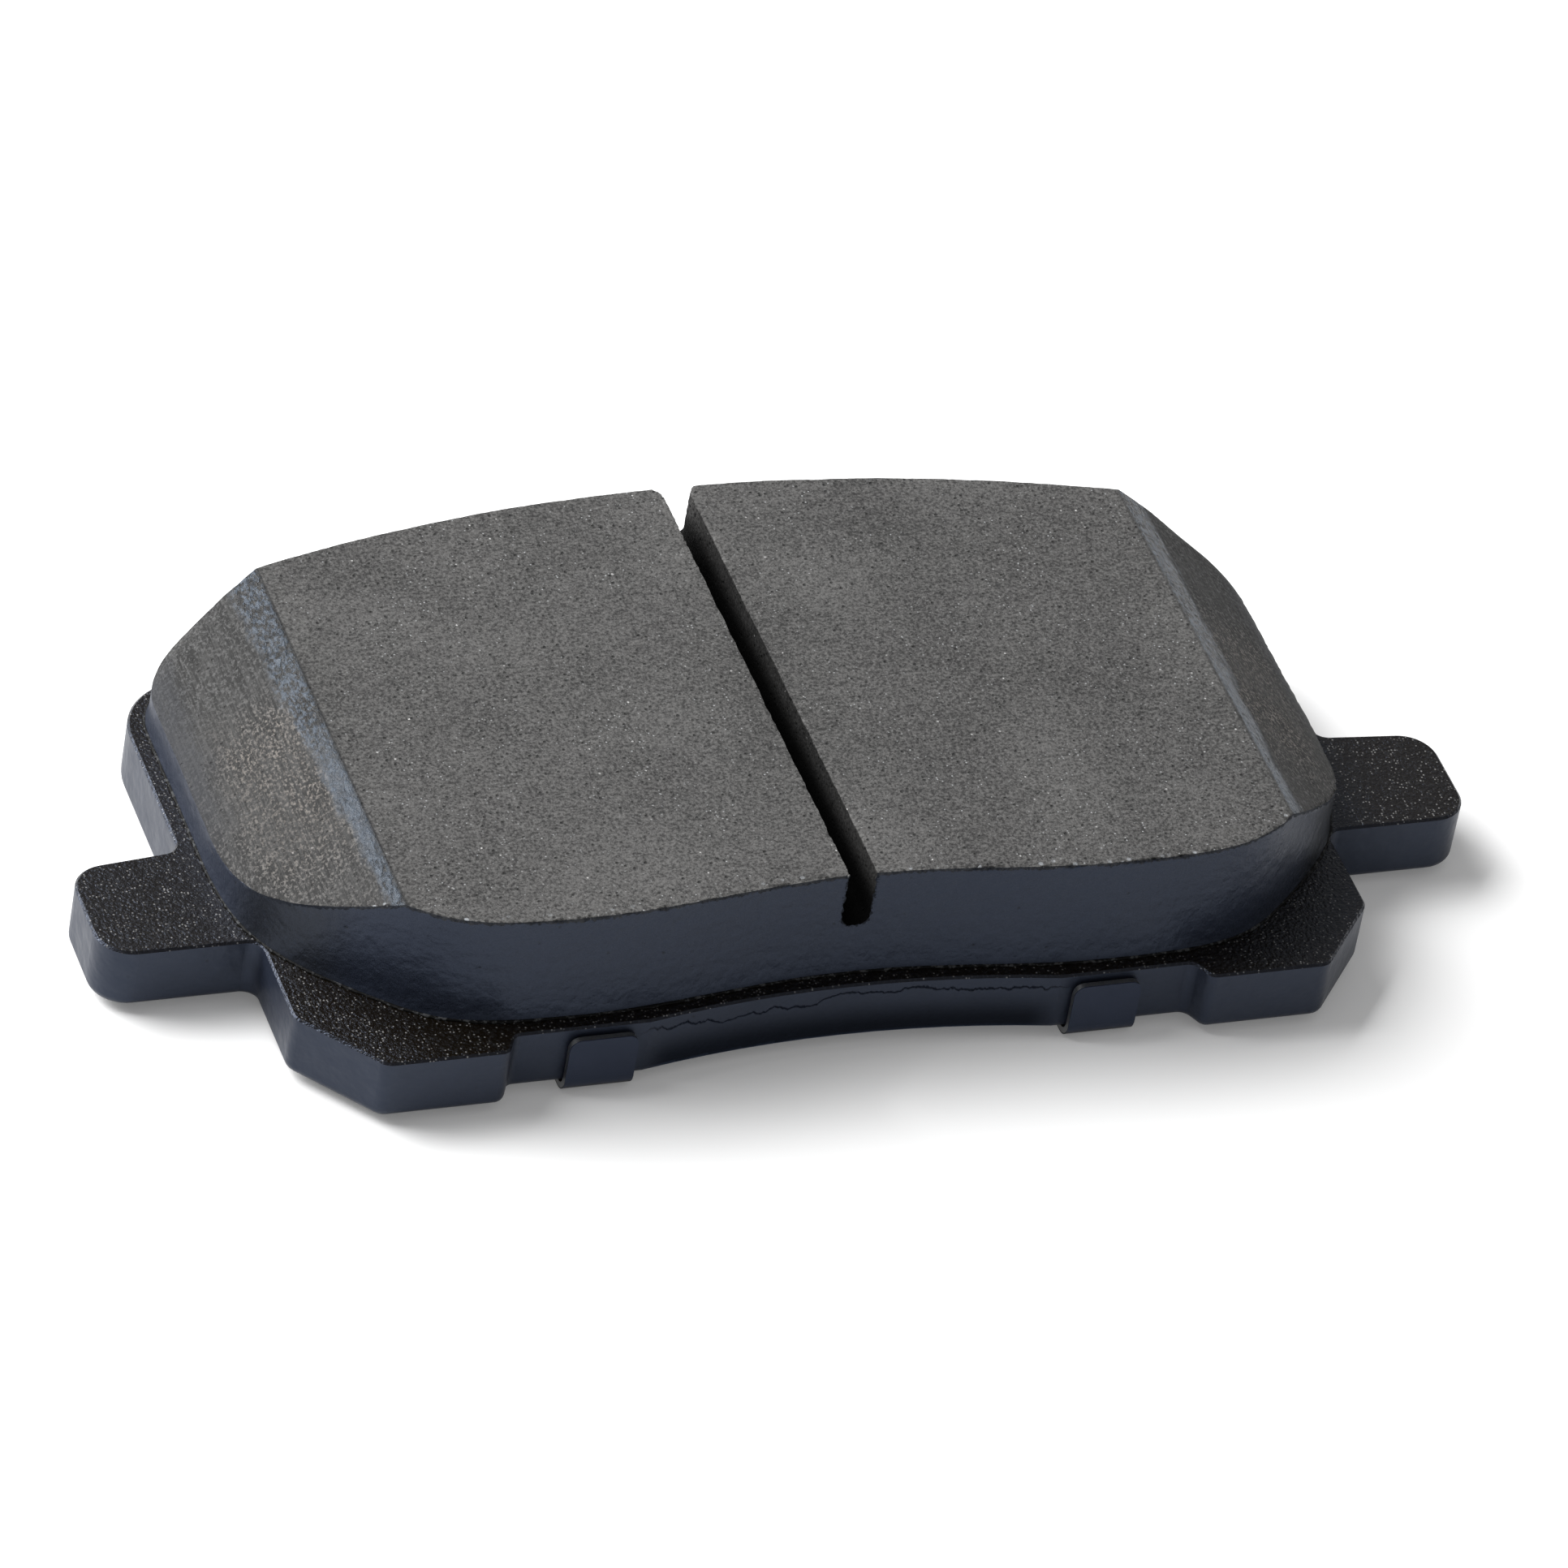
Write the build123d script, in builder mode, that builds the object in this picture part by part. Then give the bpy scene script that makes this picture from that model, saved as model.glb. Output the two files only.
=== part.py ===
"""Disc brake pad for a car, lying on its shim with the friction face up. Millimetres.

X runs along the pad from ear to ear, +Y points away from the wheel centre and +Z points from the
caliper piston to the disc. The origin is on the plane of symmetry, midway between the lower lobes
and the crown, on the outer face of the shim. Outlines are drawn for +X and mirrored.
"""
from build123d import *
import os
from math import radians, sqrt, tan

# Overall sizes
HALF_HEIGHT = 29.75
EAR_TIP_X = 62.3
PLATE_THICKNESS = 6.0

# Layers, from the shim's outer face up to the friction face
OUTER_COAT = 0.1
STEEL = 0.5
INNER_COAT = 0.1
ADHESIVE = 0.1
BOND = 0.2
UNDERLAYER = 2.0
FRICTION = 8.6

STEEL_Z = OUTER_COAT
INNER_COAT_Z = STEEL_Z + STEEL
ADHESIVE_Z = INNER_COAT_Z + INNER_COAT
PLATE_Z = ADHESIVE_Z + ADHESIVE
BOND_Z = PLATE_Z + PLATE_THICKNESS
UNDERLAYER_Z = BOND_Z + BOND
FRICTION_Z = UNDERLAYER_Z + UNDERLAYER
FACE_Z = FRICTION_Z + FRICTION

# Backing plate outline
CROWN_RADIUS = 140.0
CROWN_CORNER_RADIUS = 7.0
SHOULDER_X = 52.2
EAR_TOP_Y = -0.4
EAR_SLOPE = 1.0
EAR_BOTTOM_Y = -12.75
EAR_CORNER_RADIUS = 3.2
NECK_X = 48.5
LOBE_CUT_Y = -22.7
LOBE_X = 42.4
LOBE_INNER_X = 31.6
EDGE_X = 30.6
EDGE_Y = -27.75
ARCH_X = 18.5
ARCH_RISE = 1.7
INNER_CORNER_RADIUS = 1.3
LOBE_CORNER_RADIUS = 1.5
STEP_CORNER_RADIUS = 1.0
DIE_ROLL = 0.8
FRONT_EDGE_BREAK = 0.2

# Features of the backing plate
POCKET_CORNERS = ((42.3, -17.7), (46.4, -20.9), (46.2, -23.3), (42.4, -27.6), (37.1, -24.4))
POCKET_CORNER_RADIUS = 0.9
POCKET_DEPTH = 0.4
POCKET_SLOPE = 0.3
MOULDING_HOLE_X = 26.0
MOULDING_HOLE_Y = 1.5
MOULDING_HOLE_RADIUS = 6.0
PLUG_RECESS = 0.4

# Shim outline and tabs
SHIM_X = 46.4
SHIM_CROWN_Y = 26.0
SHIM_CROWN_RADIUS = 120.0
SHIM_BOTTOM_Y = -24.05
SHIM_CUT_TOP_Y = -9.3
SHIM_CUT_BOTTOM_X = 31.8
SHIM_CORNER_RADIUS = 4.0
SHIM_HOLE = (12.9, 12.35)
SHIM_HOLE_RADIUS = 3.0
TAB_GAP = 0.25
TAB_BEND_RADIUS = 1.0
TAB_TOP_Z = PLATE_Z + 5.2
TAB_CORNER_RADIUS = 1.0
TAB_ROOT = 20.0
NOTCH_FLOOR_Y = HALF_HEIGHT - OUTER_COAT - STEEL - TAB_GAP
NOTCH_FLOOR_X = 6.2
NOTCH_MOUTH_X = 7.8
NOTCH_CORNER_RADIUS = 1.5
# Each tab: X of its middle, the side of the plate it clips over, its distance out, its width
TABS = (
    (0.0, 1, NOTCH_FLOOR_Y, 6.4),
    (22.7, -1, -EDGE_Y, 6.1),
    (-22.7, -1, -EDGE_Y, 6.1),
)

# Friction block
BLOCK_X = 50.4
BLOCK_CROWN_Y = 28.6
BLOCK_CORNER_RADIUS = 6.0
BLOCK_SIDE_Y = -1.0
BLOCK_TURN = (47.6, -14.4)
BLOCK_HEEL = (41.4, -20.9)
BLOCK_LOBE = (24.5, -26.1)
BLOCK_WAIST_Y = -24.2
BOND_SPREAD = 1.008
SLOT_WIDTH = 2.5
SLOT_DEPTH = 5.6
CHAMFER_X = 39.9
CHAMFER_ANGLE = 34


def crown_y(x, top, radius):
    """Height of a crown arc at x, for an arc centred on the plane of symmetry."""
    return top - radius + sqrt(radius**2 - x**2)


def crown_arc(start_x, end_x, top, radius):
    """Crown arc from start_x out to end_x."""
    ThreePointArc(*[(x, crown_y(x, top, radius)) for x in (start_x, (start_x + end_x) / 2, end_x)])


def round_corners(outline, corners, radius):
    """Round the outline's corners nearest to the given points and to their mirror images."""
    for x, y in corners:
        for side in (x, -x):
            fillet(outline.vertices().sort_by_distance((side, y, 0))[0], radius)


def plate_outline():
    """Backing plate: ears, lobes, an arched lower edge and a notch in the crown for the top tab."""
    shoulder_y = crown_y(SHOULDER_X, HALF_HEIGHT, CROWN_RADIUS)
    notch_floor = (NOTCH_FLOOR_X, NOTCH_FLOOR_Y)
    notch_mouth = (NOTCH_MOUTH_X, crown_y(NOTCH_MOUTH_X, HALF_HEIGHT, CROWN_RADIUS))
    arch_middle = (0, EDGE_Y + ARCH_RISE)
    with BuildSketch(mode=Mode.PRIVATE) as outline:
        with BuildLine():
            Polyline((0, NOTCH_FLOOR_Y), notch_floor, notch_mouth)
            crown_arc(NOTCH_MOUTH_X, SHOULDER_X, HALF_HEIGHT, CROWN_RADIUS)
            Polyline(
                (SHOULDER_X, shoulder_y),
                (SHOULDER_X, EAR_TOP_Y),
                (EAR_TIP_X, EAR_TOP_Y - EAR_SLOPE),
                (EAR_TIP_X, EAR_BOTTOM_Y),
                (NECK_X, EAR_BOTTOM_Y),
                (NECK_X, LOBE_CUT_Y),
                (LOBE_X, -HALF_HEIGHT),
                (LOBE_INNER_X, -HALF_HEIGHT),
                (EDGE_X, EDGE_Y),
                (ARCH_X, EDGE_Y),
            )
            ThreePointArc((ARCH_X, EDGE_Y), (ARCH_X / 2, EDGE_Y + ARCH_RISE * 3 / 4), arch_middle)
            Line(arch_middle, (0, NOTCH_FLOOR_Y))
        make_face()
        mirror(about=Plane.YZ)
        round_corners(outline, [notch_floor, notch_mouth], NOTCH_CORNER_RADIUS)
        round_corners(outline, [(SHOULDER_X, shoulder_y)], CROWN_CORNER_RADIUS)
        round_corners(outline, [(EAR_TIP_X, EAR_TOP_Y - EAR_SLOPE), (EAR_TIP_X, EAR_BOTTOM_Y)], EAR_CORNER_RADIUS)
        round_corners(outline, [(SHOULDER_X, EAR_TOP_Y), (NECK_X, EAR_BOTTOM_Y)], INNER_CORNER_RADIUS)
        round_corners(outline, [(NECK_X, LOBE_CUT_Y), (LOBE_X, -HALF_HEIGHT)], LOBE_CORNER_RADIUS)
        round_corners(outline, [(LOBE_INNER_X, -HALF_HEIGHT), (EDGE_X, EDGE_Y)], STEP_CORNER_RADIUS)
    return outline.sketch


def shim_outline():
    """Flat of the shim without its tabs."""
    corner_y = crown_y(SHIM_X, SHIM_CROWN_Y, SHIM_CROWN_RADIUS)
    with BuildSketch(mode=Mode.PRIVATE) as outline:
        with BuildLine():
            crown_arc(0, SHIM_X, SHIM_CROWN_Y, SHIM_CROWN_RADIUS)
            Polyline(
                (SHIM_X, corner_y),
                (SHIM_X, SHIM_CUT_TOP_Y),
                (SHIM_CUT_BOTTOM_X, SHIM_BOTTOM_Y),
                (0, SHIM_BOTTOM_Y),
                (0, SHIM_CROWN_Y),
            )
        make_face()
        mirror(about=Plane.YZ)
        cut_corners = [(SHIM_X, SHIM_CUT_TOP_Y), (SHIM_CUT_BOTTOM_X, SHIM_BOTTOM_Y)]
        round_corners(outline, [(SHIM_X, corner_y)] + cut_corners, SHIM_CORNER_RADIUS)
        with Locations(SHIM_HOLE):
            Circle(SHIM_HOLE_RADIUS, mode=Mode.SUBTRACT)
    return outline.sketch


def block_outline():
    """Friction block: long crown, round lower ends and two lobes with a waist between them."""
    corner_y = crown_y(BLOCK_X, BLOCK_CROWN_Y, CROWN_RADIUS)
    waist = (0, BLOCK_WAIST_Y)
    with BuildSketch(mode=Mode.PRIVATE) as outline:
        with BuildLine():
            crown_arc(0, BLOCK_X, BLOCK_CROWN_Y, CROWN_RADIUS)
            Line((BLOCK_X, corner_y), (BLOCK_X, BLOCK_SIDE_Y))
            Spline((BLOCK_X, BLOCK_SIDE_Y), BLOCK_TURN, BLOCK_HEEL, BLOCK_LOBE, tangents=((0, -1), (-1, 0)))
            Spline(BLOCK_LOBE, waist, tangents=((-1, 0), (-1, 0)))
            Line(waist, (0, BLOCK_CROWN_Y))
        make_face()
        mirror(about=Plane.YZ)
        round_corners(outline, [(BLOCK_X, corner_y)], BLOCK_CORNER_RADIUS)
    return outline.sketch


def bent_tabs(bottom_z, thickness, leg_gap, inner_radius):
    """The three tabs of one shim layer: flat neck, bend round the plate's edge, leg up along the edge."""
    top_z = bottom_z + thickness
    bend_z = top_z + inner_radius
    with BuildPart(mode=Mode.PRIVATE) as tabs:
        for x, side, distance, width in TABS:
            leg_y = distance + leg_gap
            bend_y = leg_y - inner_radius
            with BuildSketch(Plane(origin=(x, 0, 0), x_dir=(0, side, 0), z_dir=(side, 0, 0))):
                with BuildLine():
                    Line((TAB_ROOT, top_z), (bend_y, top_z))
                    CenterArc((bend_y, bend_z), inner_radius, -90, 90)
                    Polyline(
                        (leg_y, bend_z),
                        (leg_y, TAB_TOP_Z),
                        (leg_y + thickness, TAB_TOP_Z),
                        (leg_y + thickness, bend_z),
                    )
                    CenterArc((bend_y, bend_z), inner_radius + thickness, -90, 90)
                    Polyline((bend_y, bottom_z), (TAB_ROOT, bottom_z), (TAB_ROOT, top_z))
                make_face()
            extrude(amount=width / 2, both=True)
        fillet(tabs.edges().filter_by(Axis.Y).group_by(Axis.Z)[-1], TAB_CORNER_RADIUS)
    return tabs.part


def moulding_holes():
    """Places of the two holes through which the underlayer is keyed into the plate."""
    return Locations((-MOULDING_HOLE_X, MOULDING_HOLE_Y), (MOULDING_HOLE_X, MOULDING_HOLE_Y))


plate_face = plate_outline()
shim_face = shim_outline()
block_face = block_outline()
coat_tabs = bent_tabs(0, OUTER_COAT, TAB_GAP + STEEL, TAB_BEND_RADIUS + STEEL)
steel_tabs = bent_tabs(STEEL_Z, STEEL, TAB_GAP, TAB_BEND_RADIUS)

with BuildPart() as shim_outer_coat:
    with BuildSketch():
        add(shim_face)
    extrude(amount=OUTER_COAT)
    add(coat_tabs)

with BuildPart() as shim_steel:
    with BuildSketch(Plane.XY.offset(STEEL_Z)):
        add(shim_face)
    extrude(amount=STEEL)
    add(steel_tabs)

with BuildPart() as shim_inner_coat:
    with BuildSketch(Plane.XY.offset(INNER_COAT_Z)):
        add(shim_face)
    extrude(amount=INNER_COAT)

with BuildPart() as shim_adhesive:
    with BuildSketch(Plane.XY.offset(ADHESIVE_Z)):
        add(shim_face)
    extrude(amount=ADHESIVE)

with BuildPart() as pockets:
    with BuildSketch(Plane.XY.offset(PLATE_Z)) as pocket:
        with BuildLine():
            Polyline(*POCKET_CORNERS, close=True)
        make_face()
        fillet(pocket.vertices(), POCKET_CORNER_RADIUS)
    extrude(amount=POCKET_DEPTH)
    chamfer(pockets.faces().sort_by(Axis.Z)[-1].edges(), POCKET_SLOPE)
    mirror(about=Plane.YZ)

with BuildPart() as backing_plate:
    with BuildSketch(Plane.XY.offset(PLATE_Z)):
        add(plate_face)
    extrude(amount=PLATE_THICKNESS)
    fillet(backing_plate.faces().sort_by(Axis.Z)[0].edges(), DIE_ROLL)
    chamfer(backing_plate.faces().sort_by(Axis.Z)[-1].edges(), FRONT_EDGE_BREAK)
    add(pockets.part, mode=Mode.SUBTRACT)
    with BuildSketch(Plane.XY.offset(PLATE_Z)):
        with moulding_holes():
            Circle(MOULDING_HOLE_RADIUS)
    extrude(amount=PLATE_THICKNESS, mode=Mode.SUBTRACT)

with BuildPart() as bond_layer:
    with BuildSketch(Plane.XY.offset(BOND_Z)):
        scale(block_face, by=BOND_SPREAD)
        with moulding_holes():
            Circle(MOULDING_HOLE_RADIUS, mode=Mode.SUBTRACT)
    extrude(amount=BOND)

with BuildPart() as underlayer:
    with BuildSketch(Plane.XY.offset(UNDERLAYER_Z)):
        add(block_face)
    extrude(amount=UNDERLAYER)
    with BuildSketch(Plane.XY.offset(PLATE_Z + PLUG_RECESS)):
        with moulding_holes():
            Circle(MOULDING_HOLE_RADIUS)
    extrude(amount=UNDERLAYER_Z - PLATE_Z - PLUG_RECESS)

with BuildPart() as friction_block:
    with BuildSketch(Plane.XY.offset(FRICTION_Z)):
        add(block_face)
    extrude(amount=FRICTION)
    with BuildSketch(Plane.XZ) as cuts:
        with Locations((0, FACE_Z)):
            Rectangle(SLOT_WIDTH, 2 * SLOT_DEPTH)
        with BuildLine():
            Polyline(
                (CHAMFER_X, FACE_Z),
                (CHAMFER_X + FRICTION / tan(radians(CHAMFER_ANGLE)), FRICTION_Z),
                (CHAMFER_X + FRICTION / tan(radians(CHAMFER_ANGLE)), FACE_Z),
                close=True,
            )
        make_face()
        mirror(about=Plane.YZ)
    extrude(amount=HALF_HEIGHT + 5, both=True, mode=Mode.SUBTRACT)

PIECES = {
    "shim_outer_coat": shim_outer_coat,
    "shim_steel": shim_steel,
    "shim_inner_coat": shim_inner_coat,
    "shim_adhesive": shim_adhesive,
    "backing_plate": backing_plate,
    "bond_layer": bond_layer,
    "underlayer": underlayer,
    "friction_block": friction_block,
}

os.makedirs("parts", exist_ok=True)
for name, piece in PIECES.items():
    piece.part.label = name
    export_step(piece.part, f"parts/{name}.step")
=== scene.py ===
"""Looks of the disc brake pad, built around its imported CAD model.

The friction block, its underlayer and the bond line are modelled again as dense meshes with chipped
edges, pits and uneven paint. They take their outlines and heights from the CAD nodes they stand for.
The plate and the shim keep their CAD shapes and get procedural materials. Shapes are worked out in
millimetres and turned into metres by make_piece. The floor, the light and the camera are in metres.
"""

import math

import bmesh
import bpy
import numpy as np
from mathutils import Matrix, Vector, kdtree, noise


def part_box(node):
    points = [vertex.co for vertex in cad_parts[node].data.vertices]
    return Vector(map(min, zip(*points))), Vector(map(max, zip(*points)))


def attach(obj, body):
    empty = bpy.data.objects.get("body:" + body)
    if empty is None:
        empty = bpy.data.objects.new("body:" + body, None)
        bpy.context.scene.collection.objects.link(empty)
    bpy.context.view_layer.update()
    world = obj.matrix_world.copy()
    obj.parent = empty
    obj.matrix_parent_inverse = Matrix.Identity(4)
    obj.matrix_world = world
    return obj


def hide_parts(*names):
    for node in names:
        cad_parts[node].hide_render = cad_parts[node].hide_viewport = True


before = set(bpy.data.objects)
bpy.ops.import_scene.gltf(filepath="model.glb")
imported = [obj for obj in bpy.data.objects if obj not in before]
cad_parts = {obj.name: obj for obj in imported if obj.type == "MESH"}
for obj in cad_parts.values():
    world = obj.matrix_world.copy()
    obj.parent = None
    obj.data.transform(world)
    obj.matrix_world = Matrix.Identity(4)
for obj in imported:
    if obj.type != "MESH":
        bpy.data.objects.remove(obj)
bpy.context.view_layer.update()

MM = 0.001

# Friction block, as in the CAD model
SLOT_HALF_WIDTH = 1.25
SLOT_DEPTH = 5.6
CHAMFER_X = 39.9
CHAMFER_SLOPE = math.tan(math.radians(34))
PLUG_X = 26.0
PLUG_Y = 1.5
PLUG_RADIUS = 6.0

# Fineness of the friction block's mesh
OUTLINE_STEP = 0.1
OUTLINE_SMOOTHING = 0.7
COLUMN_STEP = 0.35
ROW_COUNT = 150
ROW_CROWDING = 0.85
END_COLUMNS = 32
END_CROWDING = 0.8
END_CORNERS = (0.22, 0.86)
FLOOR_COLUMNS = 7
RIM_SHARES = (0, 0.012, 0.028, 0.05)
SLOT_SIDE_START = 0.085
SLOT_SIDE_LEVELS = 15
LOWER_LEVELS = 10
UNDERLAYER_LEVELS = 9
TOUCH = 0.01

# Places of the friction block's materials in its list
GROUND, PAINTED, COMPOUND, SAWN = range(4)

# Crumbling of the rim, strongest along the arched side
RIM_WIDTH = 0.4
RIM_DEPTH = 0.35
RIM_BAND = 1.0
RIM_CHIP = 0.35
CHIP_INWARD = 0.8
CHIP_DOWNWARD = 0.6
CRUMB_LIMIT = 1.2
EVEN_WEAR = 0.35
ARCH_WEAR = 0.9
LEAST_WEAR = 0.12

# Rounding of the rim at the ends of the block
ROUNDING = 0.7
ROUNDING_WIDTH = 1.8
ROUNDED_FROM_X = CHAMFER_X + 3
ROUNDED_FROM_Y = -14.0
ROUNDED_RAMP_X = 4
ROUNDED_RAMP_Y = 8

# Wear of the slot
SLOT_CHIP = 0.3
SLOT_ROUNDING = 0.9
SLOT_NARROWING = 0.5
SLOT_FLOOR_WAVE = 0.12
MOUTH_FRAY = 0.25
MOUTH_ROUNDING = 0.7
MOUTH_REACH = 1.2
MOUTH_WIDTH = 3
MOUTH_FADE = 1.5

# Roughness of the face and the walls, and the bond line's bead
FACE_GRAIN = 0.03
WALL_WAVE = 0.06
WALL_GRAIN = 0.02
FOOT_FLARE = 0.25
FOOT_HEIGHT = 0.6
BEAD_WIDTH = 0.42
BEAD_WAVE = 0.12
BEAD_GRAIN = 0.08
BEAD_PROFILE = ((1.0, 0.0), (1.06, 0.35), (1.0, 0.7), (0.85, 0.95), (0.6, 1.0))


# ---------------------------------------------------------------------------------------------
# Reading the CAD model
# ---------------------------------------------------------------------------------------------


def heights(name):
    """Lowest and highest Z of a CAD node."""
    low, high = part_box(name)
    return low.z / MM, high.z / MM


def outline(name, height):
    """Outer edge of a CAD node at one height, as points in counter-clockwise order."""
    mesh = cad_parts[name].data
    spots = [tuple(round(c / MM, 3) for c in v.co) for v in mesh.vertices]
    neighbours = {}
    for polygon in mesh.polygons:
        corners = [spots[i] for i in polygon.vertices]
        level = [abs(spot[2] - height) < 0.002 for spot in corners]
        if all(level):
            continue
        for i, corner in enumerate(corners):
            if level[i] and level[i - 1] and corners[i - 1][:2] != corner[:2]:
                neighbours.setdefault(corner[:2], set()).add(corners[i - 1][:2])
                neighbours.setdefault(corners[i - 1][:2], set()).add(corner[:2])
    start = max(neighbours)
    loop = [start]
    before, here = None, start
    while True:
        after = [spot for spot in neighbours[here] if spot != before]
        before, here = here, max(after, key=lambda spot: spot[1]) if before is None else after[0]
        if here == start:
            return np.array(loop)
        loop.append(here)


def even_loop(points, step):
    """Closed loop with its points spread evenly along it."""
    closed = np.vstack([points, points[:1]])
    along = np.concatenate([[0], np.cumsum(np.hypot(*np.diff(closed, axis=0).T))])
    places = np.linspace(0, along[-1], int(along[-1] / step), endpoint=False)
    return np.stack([np.interp(places, along, closed[:, axis]) for axis in (0, 1)], axis=1)


def smooth_loop(points, reach):
    """Closed loop with its facets rounded off over a short reach, in points."""
    span = np.arange(-3 * reach, 3 * reach + 1)
    weights = np.exp(-0.5 * (span / reach) ** 2)
    weights /= weights.sum()
    return sum(weight * np.roll(points, shift, axis=0) for weight, shift in zip(weights, span))


def points_along(path, shares):
    """Points of an open path at the given shares of its length."""
    along = np.concatenate([[0], np.cumsum(np.hypot(*np.diff(path, axis=0).T))])
    return np.stack([np.interp(shares * along[-1], along, path[:, axis]) for axis in (0, 1)], axis=1)


# ---------------------------------------------------------------------------------------------
# Making pieces
# ---------------------------------------------------------------------------------------------


def ripple(points, size, seed):
    """Smooth noise between about -1 and 1 at each point, with bumps about one size across."""
    shift = Vector((31.7, 17.9, 5.3)) * seed
    return np.array([noise.noise(Vector(point) / size + shift) for point in points])


def make_piece(name, points, faces, materials, face_materials=None):
    """A mesh object from points in millimetres, smooth except along its corners."""
    mesh = bpy.data.meshes.new(name)
    mesh.from_pydata([tuple(point) for point in np.asarray(points) * MM], [], faces)
    for material in materials:
        mesh.materials.append(material)
    if face_materials is not None:
        mesh.polygons.foreach_set("material_index", face_materials)
    tidy = bmesh.new()
    tidy.from_mesh(mesh)
    bmesh.ops.recalc_face_normals(tidy, faces=tidy.faces)
    tidy.to_mesh(mesh)
    tidy.free()
    mesh.polygons.foreach_set("use_smooth", [True] * len(mesh.polygons))
    mesh.set_sharp_from_angle(angle=math.radians(50))
    piece = bpy.data.objects.new(name, mesh)
    bpy.context.scene.collection.objects.link(piece)
    return piece


def stand_for(piece, node):
    """Let a piece replace one CAD node: hang it on the root body and hide the node."""
    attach(piece, "root")
    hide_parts(node)


class Stack:
    """Closed solid made of level loops on top of each other, with a filled cap at each end."""

    def __init__(self):
        self.points = []
        self.faces = []

    def loop(self, xy, z):
        """Add the points of one level loop and return their numbers."""
        first = len(self.points)
        self.points += [(x, y, z) for x, y in xy]
        return list(range(first, len(self.points)))

    def wall(self, lower, upper):
        """Join two loops of equal length with quads."""
        count = len(lower)
        for i in range(count):
            j = (i + 1) % count
            self.faces.append((lower[i], lower[j], upper[j], upper[i]))

    def cap(self, *loops):
        """Fill the flat area between an outer loop and any holes in it."""
        fill = bmesh.new()
        numbers = {}
        for loop in loops:
            spots = []
            for number in loop:
                spot = fill.verts.new(self.points[number])
                numbers[spot] = number
                spots.append(spot)
            for i, spot in enumerate(spots):
                fill.edges.new((spots[i - 1], spot))
        made = bmesh.ops.triangle_fill(fill, use_beauty=True, edges=fill.edges[:])
        for face in made["geom"]:
            if isinstance(face, bmesh.types.BMFace):
                self.faces.append(tuple(numbers[spot] for spot in face.verts))
        fill.free()


def circle(x, y, radius, count=64):
    """Points of a circle."""
    turns = np.linspace(0, 2 * math.pi, count, endpoint=False)
    return np.stack([x + radius * np.cos(turns), y + radius * np.sin(turns)], axis=1)


# ---------------------------------------------------------------------------------------------
# Procedural materials
# ---------------------------------------------------------------------------------------------


class Recipe:
    """One Principled material, with short calls for the nodes that feed it. Sizes are millimetres."""

    def __init__(self, name):
        self.material = bpy.data.materials.new(name)
        self.material.use_nodes = True
        self.tree = self.material.node_tree
        self.shader = self.tree.nodes["Principled BSDF"]
        place = self.node("ShaderNodeTexCoord").outputs["Object"]
        scaled = self.node("ShaderNodeVectorMath", {"operation": "SCALE"}, {0: place, "Scale": 1 / MM})
        self.place = scaled.outputs[0]
        axes = self.node("ShaderNodeSeparateXYZ", {}, {0: self.place}).outputs
        self.x, self.y, self.z = axes[0], axes[1], axes[2]

    def node(self, kind, settings=None, inputs=None):
        """A new node with its settings and its inputs, each a value or another node's output."""
        made = self.tree.nodes.new(kind)
        for key, value in (settings or {}).items():
            setattr(made, key, value)
        for key, value in (inputs or {}).items():
            if isinstance(value, bpy.types.NodeSocket):
                self.tree.links.new(value, made.inputs[key])
            else:
                made.inputs[key].default_value = value
        return made

    def stretched(self, stretch):
        """Place divided by a stretch along each axis."""
        scale = tuple(1 / s for s in stretch)
        return self.node("ShaderNodeMapping", {}, {"Vector": self.place, "Scale": scale}).outputs[0]

    def noise(self, size, detail=2.0, stretch=(1, 1, 1), roughness=0.5):
        """Noise from 0 to 1 with features about one size across."""
        inputs = {"Vector": self.stretched(stretch), "Scale": 1 / size}
        inputs.update({"Detail": detail, "Roughness": roughness})
        return self.node("ShaderNodeTexNoise", {}, inputs).outputs["Fac"]

    def cells(self, size):
        """Distance to scattered points about one size apart, and each point's own random number."""
        made = self.node("ShaderNodeTexVoronoi", {}, {"Vector": self.place, "Scale": 1 / size})
        number = self.node("ShaderNodeSeparateColor", {}, {0: made.outputs["Color"]}).outputs[0]
        return made.outputs["Distance"], number

    def math(self, operation, a, b=0.0, c=0.0):
        """Arithmetic on one, two or three values."""
        return self.node("ShaderNodeMath", {"operation": operation}, {0: a, 1: b, 2: c}).outputs[0]

    def rise(self, value, low, high, start=0.0, end=1.0):
        """Smooth step from start to end as a value goes from low to high."""
        inputs = {"Value": value, "From Min": low, "From Max": high, "To Min": start, "To Max": end}
        return self.node("ShaderNodeMapRange", {"interpolation_type": "SMOOTHSTEP"}, inputs).outputs[0]

    def mix(self, share, first, second):
        """Colour between two others."""
        made = self.node("ShaderNodeMix", {"data_type": "RGBA"}, {0: share, 6: first, 7: second})
        return made.outputs[2]

    def bump(self, height, depth, under=None):
        """Normal for a height from 0 to 1 that stands for a real depth."""
        inputs = {"Height": height, "Distance": depth * MM, "Strength": 1.0}
        if under is not None:
            inputs["Normal"] = under
        return self.node("ShaderNodeBump", {}, inputs).outputs[0]

    def finish(self, **inputs):
        """Feed the shader and hand over the material."""
        for key, value in inputs.items():
            socket = self.shader.inputs[key.replace("_", " ")]
            if isinstance(value, bpy.types.NodeSocket):
                self.tree.links.new(value, socket)
            else:
                socket.default_value = value
        return self.material


PAINT_SHEEN = (0.6, 0.72, 1.0, 1.0)


def grey(level, warmth=0.0):
    """Colour of one level, warmer above 0 and bluer below."""
    return (level * (1 + warmth), level, level * (1 - 1.2 * warmth), 1.0)


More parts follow.
